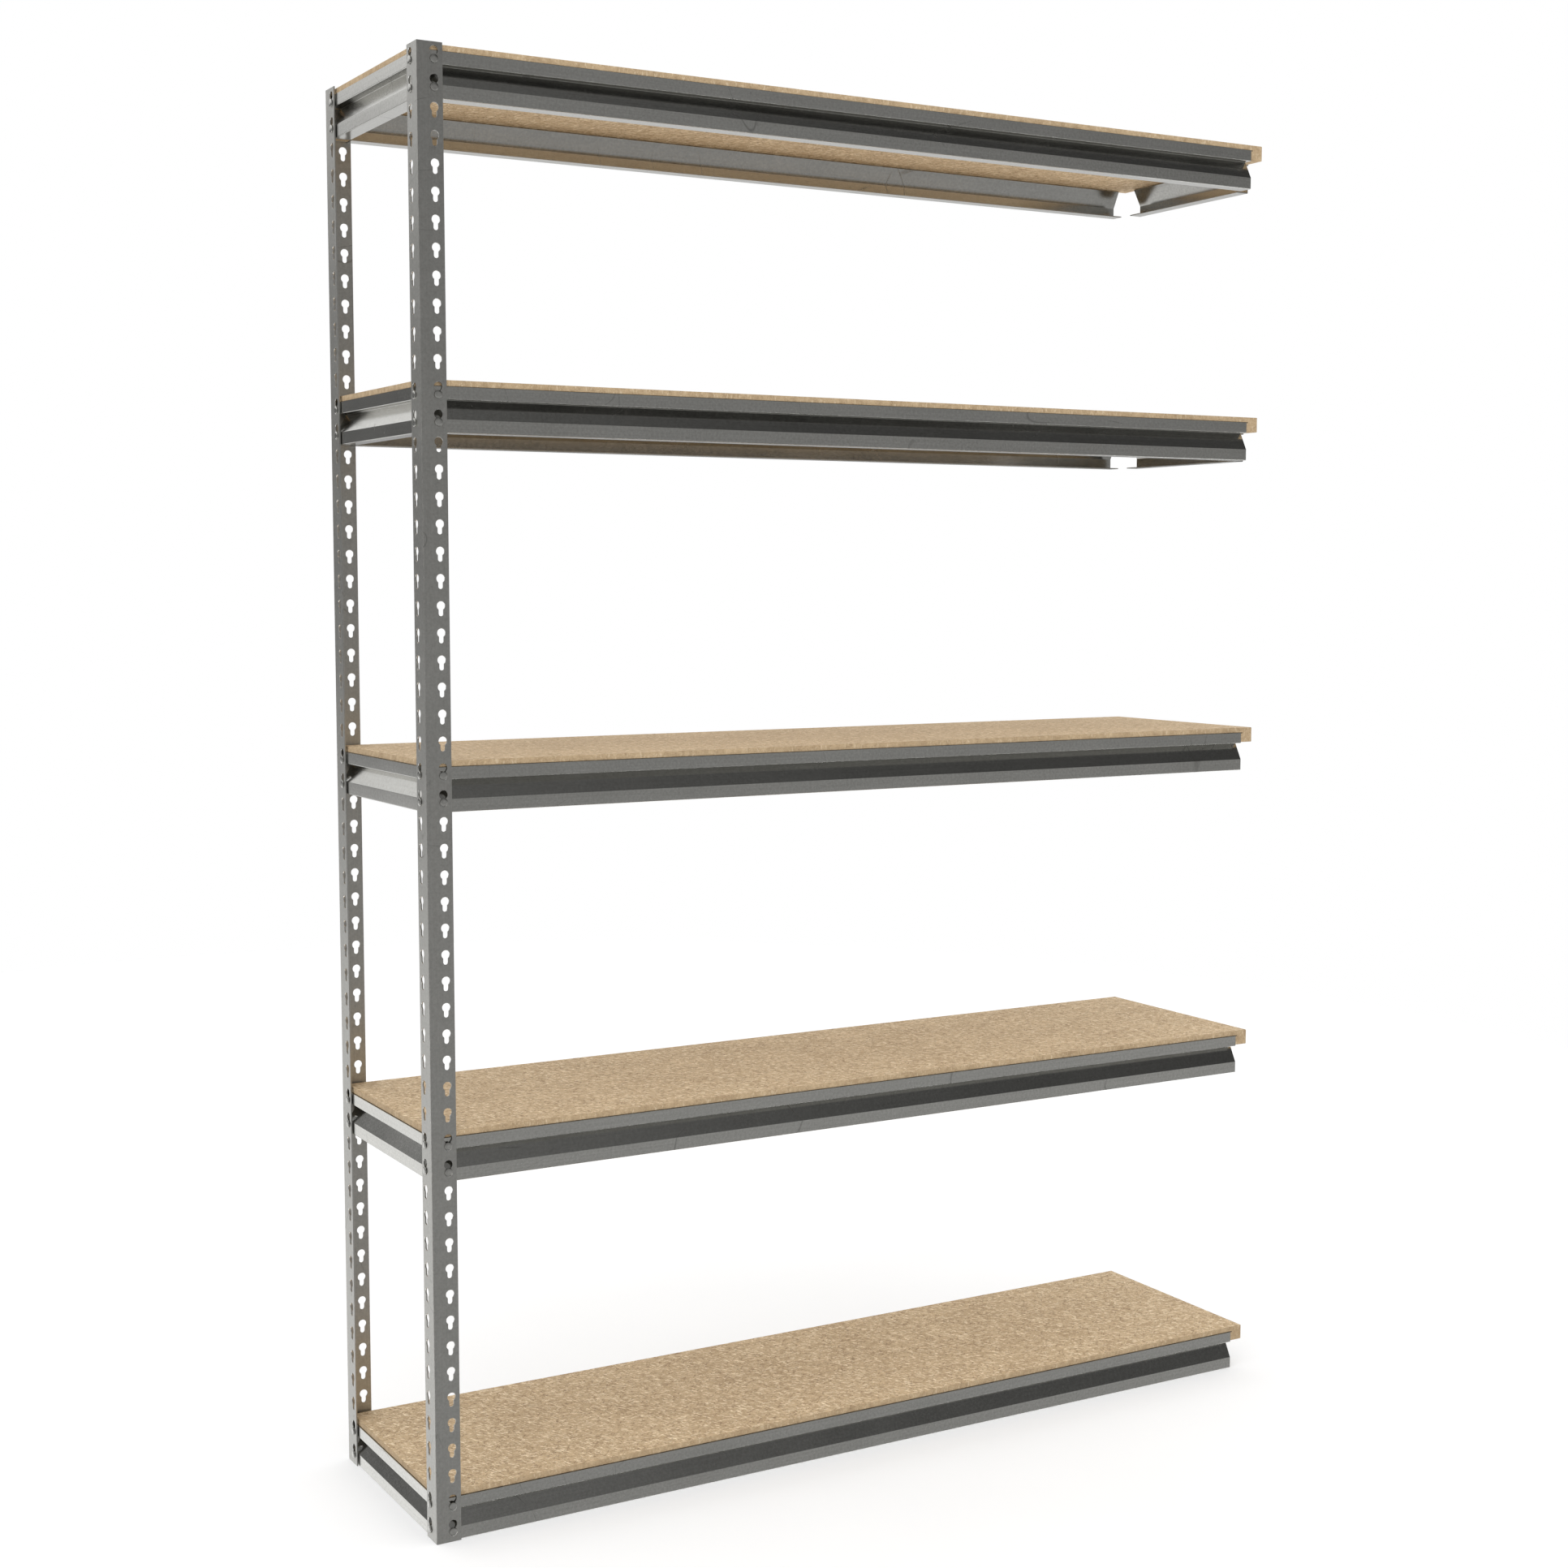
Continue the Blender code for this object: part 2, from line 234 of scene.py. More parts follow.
def folded_sheet(section, place, stations, spans, punch=None):
    """A folded sheet that runs through the stations.

    spans gives the first and last station of a strip by its name, and "rest" those of all other strips.
    punch may fill a strip's run with something other than two flat faces, and then it gives True.
    """
    outer, inner, strips = section
    bm = bmesh.new()
    grid = [[[bm.verts.new(place(along, p)) for along in stations] for p in face] for face in (outer, inner)]

    def present(strip, run):
        if not 0 <= strip < len(strips):
            return False
        first, last = spans.get(strips[strip], spans["rest"])
        return first <= run < last

    def close_cut_edges(strip, run, rims):
        neighbours = ((strip, run - 1), (strip + 1, run), (strip, run + 1), (strip - 1, run))
        for k, neighbour in enumerate(neighbours):
            if not present(*neighbour):
                following = (k + 1) % len(neighbours)
                edge = bm.faces.new((rims[0][k], rims[0][following], rims[1][following], rims[1][k]))
                edge.material_index = CUT_FINISH

    for strip, name in enumerate(strips):
        for run in range(len(stations) - 1):
            if not present(strip, run):
                continue
            corners = ((strip, run), (strip + 1, run), (strip + 1, run + 1), (strip, run + 1))
            rims = [[side[i][j] for i, j in corners] for side in grid]
            if not (punch and punch(bm, name, run, *rims)):
                bm.faces.new(rims[0])
                bm.faces.new(rims[1])
            close_cut_edges(strip, run, rims)

    loose = [vertex for vertex in bm.verts if not vertex.link_faces]
    bmesh.ops.delete(bm, geom=loose, context="VERTS")
    bmesh.ops.recalc_face_normals(bm, faces=bm.faces)
    sharp = [edge for edge in bm.edges if edge.calc_face_angle(0.0) > SHARP_EDGE]
    bmesh.ops.bevel(
        bm, geom=sharp, offset=EDGE_BREAK, segments=EDGE_STEPS, affect="EDGES", clamp_overlap=True
    )
    return bm


def corner_normals(mesh):
    """Normals for the corners of all faces. Wide faces stay flat, and the narrow ones of a bend turn."""
    least = math.cos(SMOOTH_LIMIT)
    meeting = [[] for vertex in mesh.vertices]
    faces = [(face.normal.copy(), face.area, tuple(face.vertices)) for face in mesh.polygons]
    for normal, area, vertices in faces:
        for vertex in vertices:
            meeting[vertex].append((normal, area))
    normals = []
    for normal, _, vertices in faces:
        for vertex in vertices:
            near = [other * area for other, area in meeting[vertex] if other.dot(normal) > least]
            normals.append(sum(near, Vector((0.0, 0.0, 0.0))).normalized())
    return normals


def finished_mesh(name, bm, finishes, matrix=Matrix()):
    """The mesh of what bm holds, put in its place and shaded, with its finishes."""
    bmesh.ops.recalc_face_normals(bm, faces=bm.faces)
    bm.transform(matrix)
    mesh = bpy.data.meshes.new(name)
    bm.to_mesh(mesh)
    bm.free()
    for finish in finishes:
        mesh.materials.append(finish)
    mesh.shade_smooth()
    mesh.set_sharp_from_angle(angle=SMOOTH_LIMIT)
    mesh.normals_split_custom_set(corner_normals(mesh))
    return mesh


# ---------------------------------------------------------------------------------------------------------
# Posts, beams and rivets


def keyhole_outline(spread):
    """A keyhole's outline round the centre of its opening, as pairs (across, up), grown by spread."""
    radius = KEYHOLE_RADIUS + spread
    half = SLOT_HALF_WIDTH + spread
    mouth = math.asin(half / radius)
    opening = arc(radius, mouth - math.pi / 2, 2 * (math.pi - mouth), OPENING_STEPS)
    slot_end = arc(half, math.pi, math.pi, SLOT_STEPS)
    return opening + [(across, up - SLOT_DROP) for across, up in slot_end]


def post_bm(height, flange):
    """An angle post with its outer corner on the Z axis and its flanges along +X and +Y."""
    corners = [Vector((0.0, flange)), Vector((0.0, 0.0)), Vector((flange, 0.0))]
    section = folded_section(corners, ("side", "front"), POST_SHEET)
    top_keyhole = height - TOP_KEYHOLE_DEPTH
    to_next_run = (KEYHOLE_PITCH + SLOT_DROP + SLOT_HALF_WIDTH - KEYHOLE_RADIUS) / 2
    between = [top_keyhole - row * KEYHOLE_PITCH - to_next_run for row in range(KEYHOLE_COUNT - 1)]
    stations = [height] + between + [0.0]
    depths_and_spreads = (
        (0.0, PUNCHED_EDGE),
        (PUNCHED_EDGE, 0.0),
        (POST_SHEET - PUNCHED_BACK_EDGE, 0.0),
        (POST_SHEET, PUNCHED_BACK_EDGE),
    )

    def cut_keyhole(bm, strip, run, outer_rim, inner_rim):
        if strip not in ("front", "side"):
            return False
        rings = []
        for depth, spread in depths_and_spreads:
            points = []
            for across, up in keyhole_outline(spread):
                out = KEYHOLE_GAUGE + across
                level = top_keyhole - run * KEYHOLE_PITCH + up
                points.append(Vector((out, depth, level) if strip == "front" else (depth, out, level)))
            rings.append(ring_of(bm, points))
        fill_around(bm, outer_rim, rings[0])
        fill_around(bm, inner_rim, rings[-1])
        for first, second in zip(rings, rings[1:]):
            join_rings(bm, first, second, CUT_FINISH)
        return True

    def place(along, point):
        return Vector((point.x, point.y, along))

    return folded_sheet(section, place, stations, {"rest": (0, KEYHOLE_COUNT)}, cut_keyhole)


def beam_bm(lip, web, foot):
    """A beam along +X. lip, web and foot say from where to where those stretches run."""
    corners = [
        Vector((0.0, LIP_TOP)),
        Vector((0.0, LIP_BOTTOM)),
        Vector((LEDGE_DEPTH, LIP_BOTTOM)),
        Vector((0.0, FLANGE_TOP)),
        Vector((0.0, FLANGE_BOTTOM)),
        Vector((FOOT_DEPTH, FLANGE_BOTTOM)),
    ]
    section = folded_section(corners, ("lip", "ledge", "web", "flange", "foot"), BEAM_SHEET)
    stations = sorted({*lip, *web, *foot})
    lip, web, foot = [tuple(stations.index(along) for along in ends) for ends in (lip, web, foot)]
    spans = {"lip": lip, "flange": lip, "flange_bend": foot, "foot": foot, "rest": web}

    def place(along, point):
        return Vector((along, point.x, point.y))

    return folded_sheet(section, place, stations, spans)


def add_rivet(bm, along, height):
    """A rivet with a shallow domed head that points out along -Y from a beam's face."""
    profile = [
        (NECK_RADIUS, 0.0),
        (NECK_RADIUS, HEAD_START),
        (HEAD_RADIUS - HEAD_CORNER, HEAD_START),
        (HEAD_RADIUS, HEAD_START + HEAD_CORNER),
        (HEAD_RADIUS, HEAD_START + HEAD_RIM),
    ]
    for step in range(1, DOME_STEPS):
        angle = math.pi / 2 * step / DOME_STEPS
        dome = (HEAD_THICKNESS - HEAD_RIM) * math.sin(angle)
        profile.append((HEAD_RADIUS * math.cos(angle) ** DOME_FULLNESS, HEAD_START + HEAD_RIM + dome))
    rings = []
    for radius, proud in profile:
        points = [Vector((along + x, -proud, height + z)) for x, z in circle(radius, RIVET_SIDES)]
        rings.append(ring_of(bm, points))
    bm.faces.new(rings[0])
    for first, second in zip(rings, rings[1:]):
        join_rings(bm, first, second)
    bm.faces.new(rings[-1])


# ---------------------------------------------------------------------------------------------------------
# Boards


def board_outline(low, high):
    """Points round a board, each with the way inwards and whether it is a corner."""
    outline = []
    corners = [(low.x, low.y), (high.x, low.y), (high.x, high.y), (low.x, high.y)]
    for start, end in zip(corners, corners[1:] + corners[:1]):
        a, b = Vector(start), Vector(end)
        inward = left_of((b - a).normalized())
        count = int((b - a).length / CHIP_STEP)
        for step in range(count):
            outline.append((a.lerp(b, step / count), inward, step == 0))
    return outline


def board_bm(low, high, lips, lip_top, seed):
    """A sawn board with slightly chipped arrises, and a painted shadow line where the beams' lips meet its
    sides.
    """
    chance = random.Random(seed)
    outline = board_outline(low, high)

    def level(height, inset=0.0, chipped=False):
        points = []
        for k, (point, inward, corner) in enumerate(outline):
            normal = inward + outline[k - 1][1] if corner else inward
            depth = inset
            if chipped and not corner:
                depth += max(0.0, chance.gauss(0.0, CHIP_DEPTH))
            points.append(Vector((point.x + normal.x * depth, point.y + normal.y * depth, height)))
        return points

    bm = bmesh.new()
    rings = [
        ring_of(bm, level(low.z, BOARD_ARRIS, chipped=True)),
        ring_of(bm, level(low.z + BOARD_ARRIS)),
        ring_of(bm, level(lip_top - PAINTED_SHADOW_HALF_HEIGHT)),
        ring_of(bm, level(lip_top + PAINTED_SHADOW_HALF_HEIGHT)),
        ring_of(bm, level(high.z - BOARD_ARRIS)),
        ring_of(bm, level(high.z, BOARD_ARRIS, chipped=True)),
    ]
    strips = [join_rings(bm, first, second, SAWN_FINISH) for first, second in zip(rings, rings[1:])]
    # The strip level with the lips' tops takes the painted shadow, a dark line for the gap's shade, wherever
    # a lip is near.
    beside_lip_top = strips[2]
    for face in beside_lip_top:
        middle = face.calc_center_median()
        for lip_low, lip_high in lips:
            if all(lip_low[k] - LIP_REACH < middle[k] < lip_high[k] + LIP_REACH for k in (0, 1)):
                face.material_index = PAINTED_SHADOW_FINISH
    bm.faces.new(rings[0])
    bm.faces.new(rings[-1])
    return bm


# ---------------------------------------------------------------------------------------------------------
# Finishes


class Amount:
    """An output socket of a node. A sum on it adds its Math node."""

    def __init__(self, tree, socket):
        self.tree = tree
        self.socket = socket

    def sum(self, operation, first, second):
        return self.tree.node("ShaderNodeMath", {"operation": operation}, {0: first, 1: second})

    def __add__(self, other):
        return self.sum("ADD", self, other)

    def __radd__(self, other):
        return self.sum("ADD", other, self)

    def __sub__(self, other):
        return self.sum("SUBTRACT", self, other)

    def __rsub__(self, other):
        return self.sum("SUBTRACT", other, self)

    def __mul__(self, other):
        return self.sum("MULTIPLY", self, other)

    def __rmul__(self, other):
        return self.sum("MULTIPLY", other, self)


class Tree:
    """A node tree that is being put together."""

    def __init__(self, nodes):
        self.nodes = nodes

    def node(self, kind, settings=None, values=None, output=0):
        """Adds one node, sets it up, fills its sockets with values or links, and gives one of its outputs."""
        node = self.nodes.nodes.new(kind)
        for name, setting in (settings or {}).items():
            setattr(node, name, setting)
        for name, value in (values or {}).items():
            self.fill(node.inputs[name], value)
        return Amount(self, node.outputs[output])

    def fill(self, socket, value):
        if isinstance(value, Amount):
            self.nodes.links.new(value.socket, socket)
        else:
            socket.default_value = value

    def scaled(self, place, factors):
        return self.node("ShaderNodeVectorMath", {"operation": "MULTIPLY"}, {0: place, 1: factors})

    def turned(self, place, axis, angle):
        values = {"Vector": place, "Axis": axis, "Angle": angle}
        return self.node("ShaderNodeVectorRotate", {"rotation_type": "AXIS_ANGLE"}, values)

    def noise(self, place, scale, detail=2.0, roughness=0.5, distortion=0.0):
        values = {
            "Vector": place,
            "Scale": scale,
            "Detail": detail,
            "Roughness": roughness,
            "Distortion": distortion,
        }
        return self.node("ShaderNodeTexNoise", None, values)

    def step(self, amount, low, high):
        """0 below low, 1 above high, and smooth between."""
        values = {"Value": amount, "From Min": low, "From Max": high, "To Min": 0.0, "To Max": 1.0}
        return self.node("ShaderNodeMapRange", {"interpolation_type": "SMOOTHSTEP"}, values)

    def mixed(self, share, first, second):
        """A colour between two colours. The numbers are the sockets that the Mix node has for colours."""
        return self.node("ShaderNodeMix", {"data_type": "RGBA"}, {0: share, 6: first, 7: second}, 2)

    def bump(self, strength, distance, height, under=None):
        values = {"Strength": strength, "Distance": distance, "Height": height}
        if under:
            values["Normal"] = under
        return self.node("ShaderNodeBump", None, values)


def scratches_on(tree, place, angle, scale):
    """A few long thin scratches that all lie one way, and fade in and out."""
    slanting = tree.turned(place, SCRATCH_AXIS, angle)
    field = tree.noise(tree.scaled(slanting, (SCRATCH_SQUEEZE, 1.0, 1.0)), scale, detail=0.0) - 0.5
    thin = 1.0 - tree.step(field * field, 0.0, SCRATCH_WIDTH)
    return thin * tree.step(tree.noise(place, scale * 0.9), 0.55, 0.64)


def flakes_in(tree, place, angle, scale):
    """Short straight flakes that all lie one way in the board's plane."""
    way = tree.turned(place, (0.0, 0.0, 1.0), angle)
    return tree.noise(tree.scaled(way, (FLAKE_SQUEEZE, 1.0, 1.0)), scale, roughness=0.6)


def new_finish(name):
    material = bpy.data.materials.new(name)
    material.use_nodes = True
    shader = material.node_tree.nodes["Principled BSDF"]
    return material, Tree(material.node_tree), shader


def rolled_steel(name, rolling, roughness, sheared=False):
    """Bare sheet steel. rolling squeezes its streaks along the way it was rolled."""
    material, tree, shader = new_finish(name)
    place = tree.node("ShaderNodeTexCoord", output="Object")

    mottle = tree.noise(place, 240.0, detail=6.0, roughness=0.72)
    clouds = tree.noise(place, 9.0, detail=3.0, roughness=0.55)
    streaks = tree.noise(tree.scaled(place, rolling), 420.0, detail=3.0, roughness=0.6)
    stains = tree.step(tree.noise(place, 48.0, detail=4.0, roughness=0.6), 0.66, 0.76)
    scuffs = tree.step(tree.noise(place, 520.0, roughness=0.7), 0.66, 0.80)
    scratches = scratches_on(tree, place, 0.5, scale=11.0) + scratches_on(tree, place, 2.2, scale=9.0)
    waves = tree.noise(place, 5.0, detail=1.0, roughness=0.4)

    tone = (mottle - 0.5) * 1.5 + (clouds - 0.5) * 0.35 + (streaks - 0.5) * 0.5 + 0.5
    colour = tree.mixed(tone, DULL_STEEL, BRIGHT_STEEL)
    colour = tree.mixed(stains * 0.3, colour, STAIN)
    colour = tree.mixed(scratches * 0.3, colour, SCRATCH)
    colour = tree.mixed(scuffs * 0.2, colour, SCUFF)
    if sheared:
        colour = tree.mixed(0.45, colour, SHEARED_STEEL)
    tree.fill(shader.inputs["Base Color"], colour)

    gloss = roughness + (mottle - 0.5) * 0.10 + (clouds - 0.5) * 0.08 + stains * 0.10 + scratches * 0.12
    tree.fill(shader.inputs["Roughness"], gloss)
    shader.inputs["Metallic"].default_value = 1.0

    relief = tree.bump(0.25, 0.000006, mottle * 0.4 + streaks * 0.35 - scratches * 0.5)
    tree.fill(shader.inputs["Normal"], tree.bump(0.5, 0.0006, waves, under=relief))
    return material


def flaked_board(name, sawn, shade=1.0):
    """Raw particle board: flakes that lie three ways on its faces, and a coarser core at a sawn edge."""
    material, tree, shader = new_finish(name)
    place = tree.node("ShaderNodeTexCoord", output="Object")

    dust = tree.noise(place, 800.0, detail=3.0, roughness=0.7)
    clouds = tree.noise(place, 12.0, detail=3.0, roughness=0.55)
    clumps = tree.noise(place, 85.0, roughness=0.6)
    if sawn:
        upright = tree.scaled(place, (1.0, 1.0, SAWN_SQUEEZE))
        core = tree.noise(upright, 330.0, detail=3.0, roughness=0.6)
        layers = [core, tree.noise(place, 240.0, detail=3.0, roughness=0.6, distortion=0.5)]
    else:
        layers = [flakes_in(tree, place, angle, scale=370.0) for angle in FLAKE_ANGLES]
    pale = tree.step(layers[0], 0.56, 0.66)
    dark = tree.step(layers[-1], 0.57, 0.68)
    for flakes in layers[1:-1]:
        pale = pale * 0.8 + tree.step(flakes, 0.58, 0.68)
        dark = dark * 0.8 + tree.step(1.0 - flakes, 0.60, 0.70)

    # shade darkens every colour, and the copy with the lowest shade is a painted shadow.
    def shaded(colour):
        return [channel * shade for channel in colour] + [1.0]

    tone = 0.5 + (dust - 0.5) * 1.4 + (clouds - 0.5) * 0.4 + (clumps - 0.5) * 0.9
    colour = tree.mixed(tone, shaded(BROWN_DUST), shaded(TAN_DUST))
    contrast = 0.35 if sawn else 0.85
    colour = tree.mixed(dark * contrast, colour, shaded(DARK_FLAKE))
    colour = tree.mixed(pale * contrast, colour, shaded(PALE_FLAKE))
    tree.fill(shader.inputs["Base Color"], colour)
    tree.fill(shader.inputs["Roughness"], 0.72 + (dust - 0.5) * 0.25)
    shader.inputs["Specular IOR Level"].default_value = 0.2

    depth = 0.0004 if sawn else 0.00015
    tree.fill(shader.inputs["Normal"], tree.bump(0.5, depth, dust * 0.4 + pale * 0.3 - dark * 0.4))
    return material


steel_along_x = rolled_steel("rolled_steel_along_x", (ROLLING_SQUEEZE, 1.0, 1.0), 0.18)
steel_along_y = rolled_steel("rolled_steel_along_y", (1.0, ROLLING_SQUEEZE, 1.0), 0.18)
steel_upright = rolled_steel("rolled_steel_upright", (1.0, 1.0, ROLLING_SQUEEZE), 0.38)
sheared_steel = rolled_steel("sheared_steel_edge", (1.0, 1.0, 1.0), 0.32, sheared=True)
rivet_steel = rolled_steel("rivet_steel", (1.0, 1.0, 1.0), 0.24)
board_face = flaked_board("particle_board_face", sawn=False)
board_edge = flaked_board("particle_board_sawn_edge", sawn=True, shade=0.8)
# A copy of the sawn edge darkened to a fifth, as painted shadow for the gap where a lip meets a board's side.
board_painted_shadow = flaked_board("particle_board_painted_shadow", sawn=True, shade=0.2)


# ---------------------------------------------------------------------------------------------------------
# The bay


def add_piece(name, mesh, body, slot, *nodes):
    """Adds a visible piece that rides a body and takes the place of the nodes."""
    piece = bpy.data.objects.new(name, mesh)
    bpy.context.scene.collection.objects.link(piece)
    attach(piece, body)
    if nodes:
        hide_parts(*nodes)


def placed(x, y, z, turn):
    """A turn about the Z axis in degrees, and then a move."""
    return Matrix.Translation((x, y, z)) @ Matrix.Rotation(math.radians(turn), 4, "Z")


front_low, front_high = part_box("front_post")
rear_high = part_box("rear_post")[1]
left_x = front_low.x
front_y = front_low.y
rear_y = rear_high.y
bay_depth = rear_y - front_y


def add_posts():
    flange = front_high.x - front_low.x
    for name, corner_y, turn in (("front_post", front_y, 0), ("rear_post", rear_y, -90)):
        bm = post_bm(front_high.z, flange)
        mesh = finished_mesh(name, bm, (steel_upright, sheared_steel), placed(left_x, corner_y, 0, turn))
        add_piece(f"{name}_angle", mesh, "frame", "bare_steel", name)


def beam_runs(front, rear, right, rivet_z):
    """Each side's beam of a shelf: its finish, where its lip, web and foot run, its rivets and its matrix.

    Places along a beam are counted from the post's outer face at the beam's own left-hand end.
    """
    starts = (EAR_START, WEB_START, FOOT_START)
    right_x = right[1].x + BEAM_FACE
    width = right_x - left_x
    return {
        "front": (
            steel_along_x,
            [(start, front[1].x - left_x) for start in starts],
            [KEYHOLE_GAUGE],
            placed(left_x, front_y + BEAM_FACE, rivet_z, 0),
        ),
        "rear": (
            steel_along_x,
            [(right_x - rear[1].x, width - start) for start in starts],
            [width - KEYHOLE_GAUGE],
            placed(right_x, rear_y - BEAM_FACE, rivet_z, 180),
        ),
        "left": (
            steel_along_y,
            [(start, bay_depth - start) for start in starts],
            [KEYHOLE_GAUGE, bay_depth - KEYHOLE_GAUGE],
            placed(left_x + BEAM_FACE, rear_y, rivet_z, -90),
        ),
        "right": (
            steel_along_y,
            [(right[0].y - front_y, right[1].y - front_y)] * len(starts),
            [],
            placed(right_x - BEAM_FACE, front_y, rivet_z, 90),
        ),
    }


def add_beams_and_rivets(stem, runs):
    rivets = bmesh.new()
    for side, (finish, ends, rivet_places, matrix) in runs.items():
        mesh = finished_mesh(f"{stem}_{side}", beam_bm(*ends), (finish, sheared_steel), matrix)
        add_piece(f"{stem}_{side}_folded_beam", mesh, "frame", "bare_steel", f"{stem}_{side}_beam")
        before = len(rivets.verts)
        for along in rivet_places:
            for drop in (0.0, KEYHOLE_PITCH):
                add_rivet(rivets, along, -drop)
        rivets.verts.ensure_lookup_table()
        bmesh.ops.transform(rivets, matrix=matrix, verts=rivets.verts[before:])
    mesh = finished_mesh(f"{stem}_rivets", rivets, (rivet_steel,))
    add_piece(f"{stem}_rivets", mesh, "frame", "bare_steel")


def add_board(shelf, stem, front, rear, right, lip_top):
    low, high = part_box(f"{stem}_board")
    inside = BEAM_FACE + BEAM_SHEET
    lips = (
        (Vector((left_x, front_y)), Vector((front[1].x, front_y + inside))),
        (Vector((left_x, rear_y - inside)), Vector((rear[1].x, rear_y))),
        (Vector((left_x, front_y)), Vector((left_x + inside, rear_y))),
        (Vector((right[1].x - BEAM_SHEET, right[0].y)), Vector((right[1].x, right[1].y))),
    )
    board = board_bm(low, high, lips, lip_top, seed=shelf)
    mesh = finished_mesh(f"{stem}_board", board, (board_face, board_edge, board_painted_shadow))
    add_piece(f"{stem}_sawn_board", mesh, f"board_{shelf}", "particle_board", f"{stem}_board")


def add_shelf(shelf):
    stem = f"shelf_{shelf}"
    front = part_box(f"{stem}_front_beam")
    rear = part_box(f"{stem}_rear_beam")
    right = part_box(f"{stem}_right_beam")
    rivet_z = front[0].z - FLANGE_BOTTOM
    add_beams_and_rivets(stem, beam_runs(front, rear, right, rivet_z))
    add_board(shelf, stem, front, rear, right, rivet_z + LIP_TOP)


# ---------------------------------------------------------------------------------------------------------
# Studio


def mirrored_room(tree):
    """How bright the room is each way: dim in front of the bay, bright behind it except at the horizon."""
    way = tree.node("ShaderNodeTexCoord", output="Generated")

    def towards(x, y, z):
        values = {0: way, 1: Vector((x, y, z)).normalized()}
        return tree.node("ShaderNodeVectorMath", {"operation": "DOT_PRODUCT"}, values, "Value")

    up = towards(0, 0, 1)
    down = 0.0 - up
    right = towards(1, 0, 0)
    left = 0.0 - right
    away = towards(0, 1, 0)

    # In front of the bay: the floor and a dimmer wall, then what shades them
    front_wall = tree.step(up, -0.20, -0.06)
    near_feet = tree.step(down, 0.28, 0.36)
    floor_at_right = tree.step(right, 0.55, 0.70) * tree.step(down, 0.06, 0.20)
    under_bay = tree.step(towards(0.0, 0.69, -0.72), 0.08, 0.22)
    front = 0.44 - 0.12 * front_wall - 0.05 * near_feet + 0.07 * floor_at_right - 0.36 * under_bay
    above = (0.30 + 0.40 * tree.step(right, 0.30, 0.55)) * tree.step(up, 0.22, 0.42)
    far_right = 0.35 * tree.step(right, 0.45, 0.80) * tree.step(up, 0.0, 0.16)
    ceiling = 0.25 * tree.step(up, 0.62, 0.74)
    front = front * (1.0 - above) * (1.0 - far_right) * (1.0 - ceiling)

    # Behind the bay: the floor up to a dark horizon, then a bright wall
    close_by = 0.05 * tree.step(down, 0.24, 0.34)
    steep_down = 0.65 * tree.step(down, 0.45, 0.60)
    far_corner = 0.4 * tree.step(towards(0.8, 0.6, 0.0), 0.30, 0.80)
    far_left = 0.75 * tree.step(left, 0.44, 0.52)
    floor = (1.05 + close_by - steep_down - far_corner) * (1.0 - far_left)
    below_horizon = 1.0 - tree.step(up, -0.18, -0.04)
    wall = 0.9 * tree.step(up, 0.13, 0.23)
    back = 0.16 + floor * below_horizon + wall

    # A bright patch straight below, which the sheet's lower bends mirror as a thin line
    patch = tree.step(down, 0.40, 0.55) * tree.step(away, -0.18, -0.05) * (1.0 - tree.step(away, 0.15, 0.30))

    behind = tree.step(towards(-0.3, 0.95, 0.0), -0.25, 0.45)
    return front + behind * (back - front) + 3.5 * patch


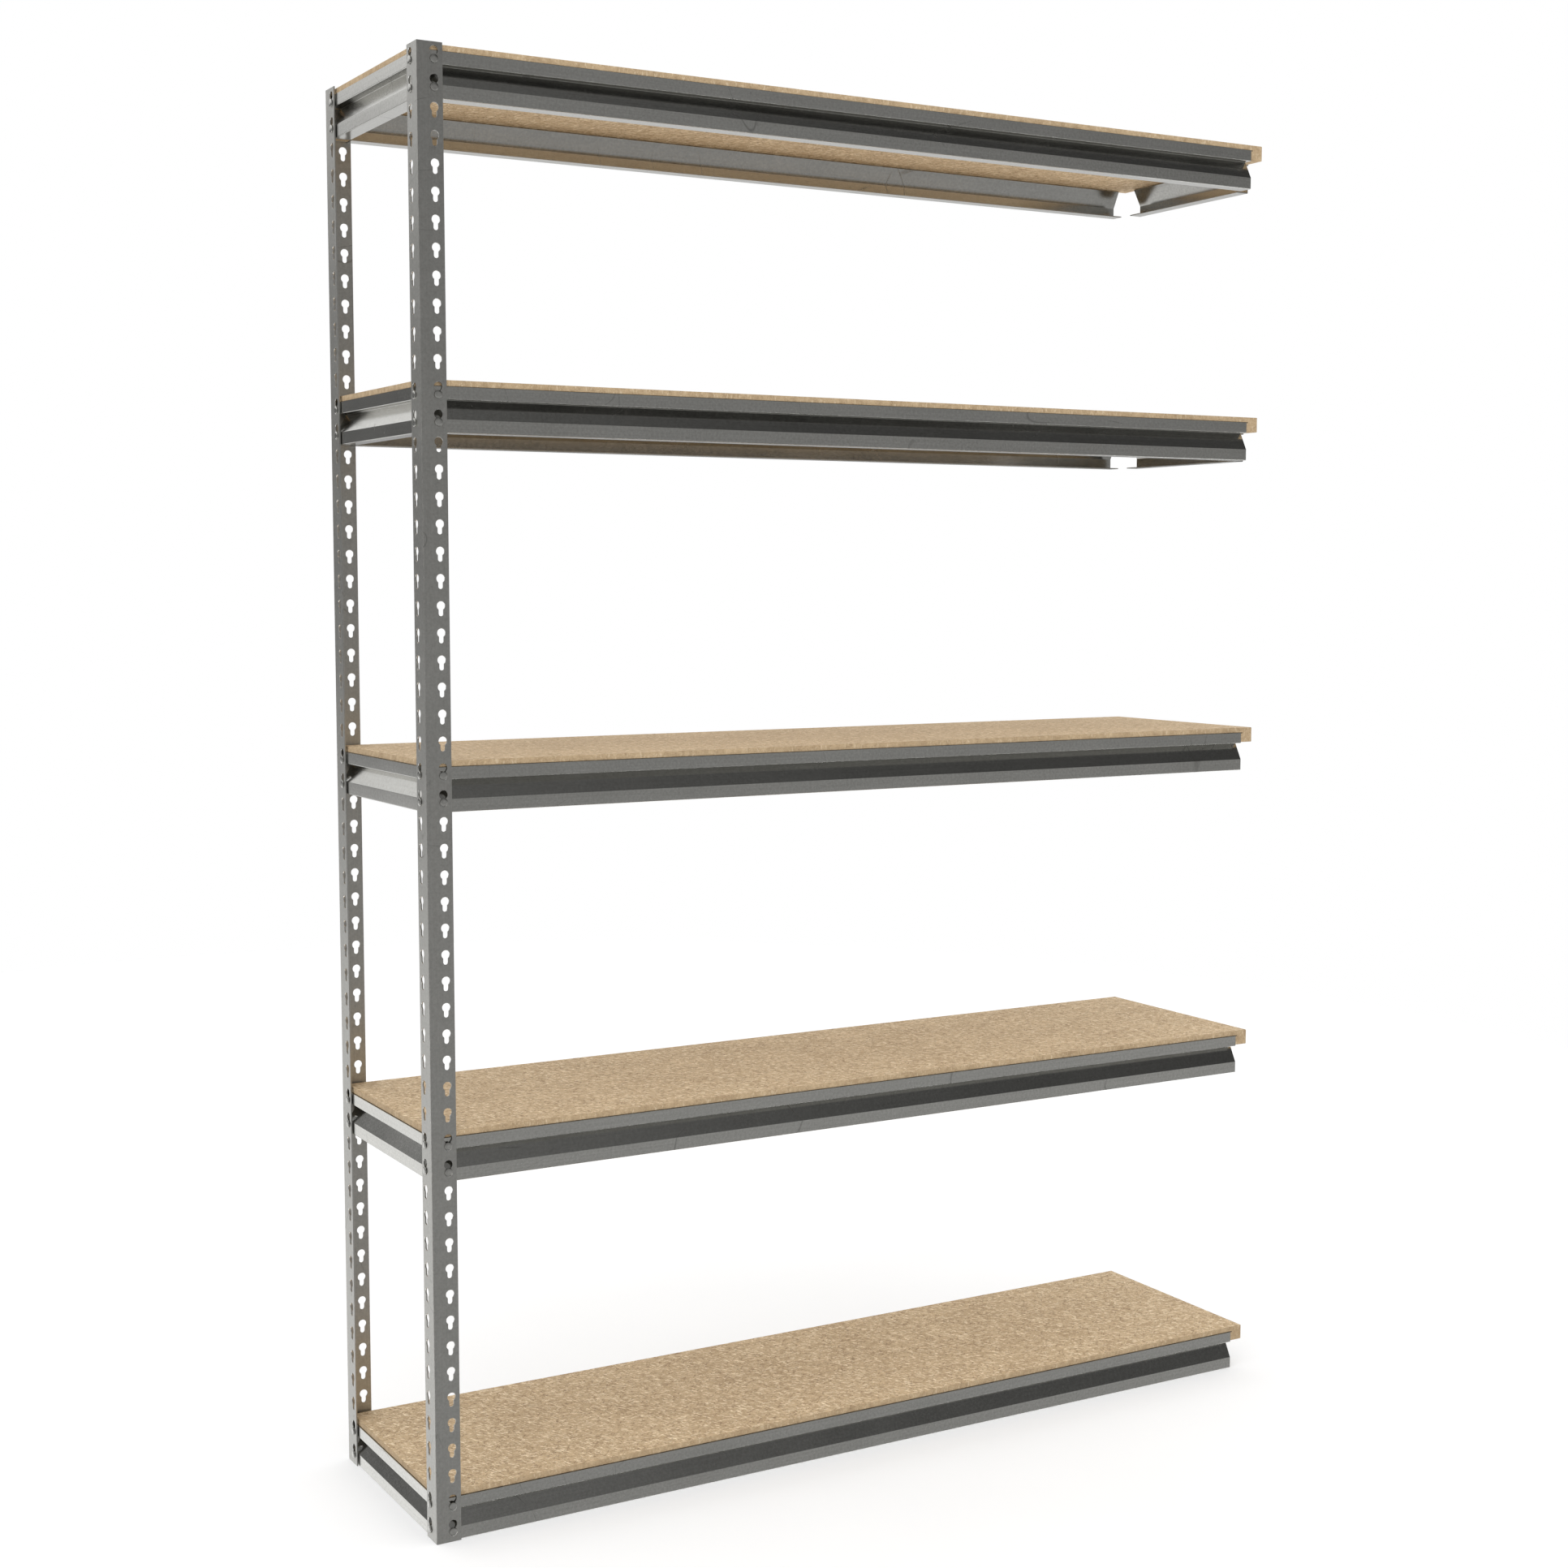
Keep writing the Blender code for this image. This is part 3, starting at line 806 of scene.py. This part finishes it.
def surroundings():
    """An even light and a white backdrop. Only what glossy surfaces mirror has bright and dark parts."""
    world = bpy.data.worlds.new("studio")
    bpy.context.scene.world = world
    world.use_nodes = True
    world.cycles.sampling_method = "NONE"
    tree = Tree(world.node_tree)
    background = world.node_tree.nodes["Background"]
    background.inputs["Color"].default_value = WHITE
    mirrored = tree.node("ShaderNodeLightPath", output="Is Glossy Ray")
    seen = tree.node("ShaderNodeLightPath", output="Is Camera Ray")
    plain = EVEN_LIGHT - seen * (EVEN_LIGHT - BACKDROP_LIGHT)
    tree.fill(background.inputs["Strength"], plain + mirrored * (mirrored_room(tree) - plain))


def pale_floor():
    """A round pale floor, under and behind the bay, that glows a little so that shadows on it stay faint."""
    middle_x, middle_y = FLOOR_CENTRE
    bm = bmesh.new()
    rings = []
    for radius in FLOOR_RADII:
        points = [Vector((middle_x + x, middle_y + y, 0.0)) for x, y in circle(radius, FLOOR_SIDES)]
        rings.append(ring_of(bm, points))
    join_rings(bm, *rings)
    bm.faces.new(rings[-1])

    material, tree, shader = new_finish("pale_floor")
    place = tree.node("ShaderNodeTexCoord", output="Object")
    tree.fill(shader.inputs["Base Color"], tree.mixed(tree.noise(place, 3.0), *FLOOR_TONES))
    shader.inputs["Roughness"].default_value = 0.9
    shader.inputs["Emission Color"].default_value = WHITE
    shader.inputs["Emission Strength"].default_value = FLOOR_GLOW

    floor = bpy.data.objects.new("floor", finished_mesh("floor", bm, (material,)))
    floor.visible_glossy = False
    bpy.context.scene.collection.objects.link(floor)


def soft_light(name, place, target, size, power):
    light = bpy.data.lights.new(name, "AREA")
    light.shape = "SQUARE"
    light.size = size
    light.energy = power
    lamp = bpy.data.objects.new(name, light)
    lamp.visible_glossy = False
    lamp.location = place
    lamp.rotation_euler = (Vector(target) - Vector(place)).to_track_quat("-Z", "Y").to_euler()
    bpy.context.scene.collection.objects.link(lamp)


def add_camera():
    camera = bpy.data.cameras.new("camera")
    camera.lens = CAMERA_LENS
    camera.sensor_width = CAMERA_SENSOR
    viewer = bpy.data.objects.new("camera", camera)
    viewer.location = CAMERA_PLACE
    viewer.rotation_euler = (math.radians(90 - CAMERA_TILT_DOWN), 0.0, math.radians(-CAMERA_TURN_RIGHT))
    bpy.context.scene.collection.objects.link(viewer)
    bpy.context.scene.camera = viewer


add_posts()
for shelf in SHELVES:
    add_shelf(shelf)
surroundings()
pale_floor()
soft_light("overhead", place=(-0.8, -1.0, 4.6), target=(0.2, 0.6, 0.0), size=4.0, power=40)
add_camera()
bpy.context.scene.view_settings.view_transform = "Standard"
